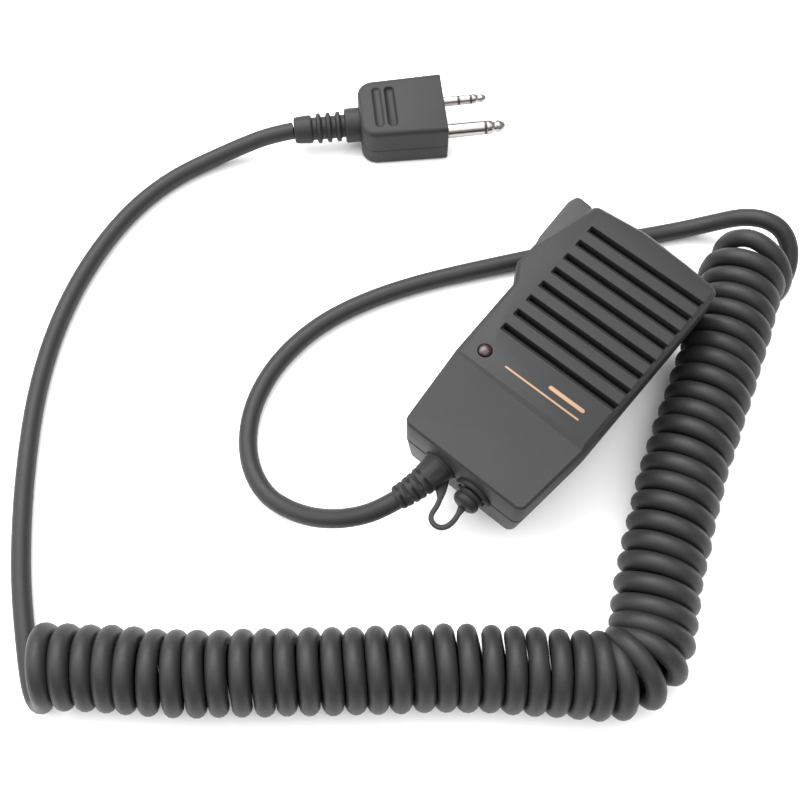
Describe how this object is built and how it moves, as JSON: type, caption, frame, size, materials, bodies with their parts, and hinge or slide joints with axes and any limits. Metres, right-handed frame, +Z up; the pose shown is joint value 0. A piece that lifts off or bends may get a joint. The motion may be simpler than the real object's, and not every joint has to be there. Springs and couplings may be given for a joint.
{
  "type": "hand microphone",
  "caption": "Hand-held radio speaker microphone with a slotted face, side push-to-talk lever, belt clip, curly cord and a plug with unequal pins.",
  "frame": {"origin": "on the surface the microphone lies on, under the middle of the case with its lever, cap and tether", "axes": "+Z up out of the case's face, +Y towards the case's top end with the lever, +X towards the side opposite the lever"},
  "size_m": [0.1683, 0.1941, 0.0277],
  "materials": {
    "case_plastic": "fine moulded grain, matte",
    "lever_plastic": "fine moulded grain, slightly worn",
    "soft_rubber": "smooth matte",
    "cord_jacket": "smooth, faint sheen",
    "steel": "satin",
    "zinc_screw": "blackened",
    "nickel": "bright nickel",
    "insulator": "smooth",
    "lamp_red": "clear tinted, glossy",
    "board_green": "lacquered",
    "component_mix": "moulded",
    "white_plastic": "moulded",
    "cone_paper": "pressed paper",
    "cloth": "woven",
    "magnet": "plain",
    "copper": "wound wire",
    "alu": "drawn can"
  },
  "bodies": {
    "case": {"front_shell": "case_plastic", "rear_shell": "case_plastic", "case_screws": "zinc_screw", "ptt_pivot_pin": "steel", "ptt_switch_body": "component_mix", "speaker_frame": "steel", "speaker_cone": "cone_paper", "speaker_voice_coil": "copper", "speaker_magnet": "magnet", "speaker_gasket": "cloth", "grille_cloth": "cloth", "mic_capsule": "alu", "mic_capsule_boot": "soft_rubber", "status_lamp": "lamp_red", "lamp_leads": "steel", "circuit_board": "board_green", "board_posts": "case_plastic", "board_components": "component_mix", "earphone_jack": "component_mix", "jack_ring": "soft_rubber", "strain_relief": "soft_rubber", "cord_inner_end": "cord_jacket", "cord_clamp": "component_mix", "cord_clamp_rest": "component_mix", "cord_lead": "cord_jacket", "cord_tail": "cord_jacket", "cord_coil_side": "cord_jacket", "cord_coil_front": "cord_jacket", "plug_body": "case_plastic", "plug_boot": "soft_rubber", "plug_large_sleeve": "nickel", "plug_large_insulator": "insulator", "plug_large_tip": "nickel", "plug_small_sleeve": "nickel", "plug_small_insulators": "insulator", "plug_small_ring": "nickel", "plug_small_tip": "nickel", "clip_swivel_post": "lever_plastic", "clip_washer": "steel", "clip_post_screw": "steel"},
    "ptt_lever": {"ptt_lever": "lever_plastic"},
    "switch_plunger": {"ptt_switch_plunger": "white_plastic"},
    "clip": {"clip_base": "lever_plastic", "clip_hinge_pin": "steel", "clip_spring": "steel"},
    "clip_jaw": {"clip_jaw": "lever_plastic"},
    "jack_cap": {"jack_cap": "soft_rubber", "cap_tether": "soft_rubber"}
  },
  "joints": [
    {"name": "ptt_press", "type": "hinge", "parent": "case", "child": "ptt_lever", "pos_m": [-0.01325, 0.02319, 0.01925], "axis": [0, 0, -1], "range_deg": [0, 7], "stiffness_Nm_per_rad": 0.05},
    {"name": "switch_travel", "type": "slide", "parent": "case", "child": "switch_plunger", "axis": [1, 0, 0], "range_m": [0, 0.0008]},
    {"name": "clip_swivel", "type": "hinge", "parent": "case", "child": "clip", "pos_m": [0.00205, 0.00599, 0.0067], "axis": [0, 0, 1], "continuous": true},
    {"name": "clip_open", "type": "hinge", "parent": "clip", "child": "clip_jaw", "pos_m": [0.00205, 0.01399, 0.004], "axis": [1, 0, 0], "range_deg": [0, 16], "stiffness_Nm_per_rad": 0.3, "springref_deg": -11.46},
    {"name": "cap_pull", "type": "slide", "parent": "case", "child": "jack_cap", "axis": [0, -1, 0], "range_m": [0, 0.006]}
  ],
  "couplings": [
    {"joint": "switch_travel", "follows": "ptt_press", "m_per_rad": 0.0064}
  ]
}
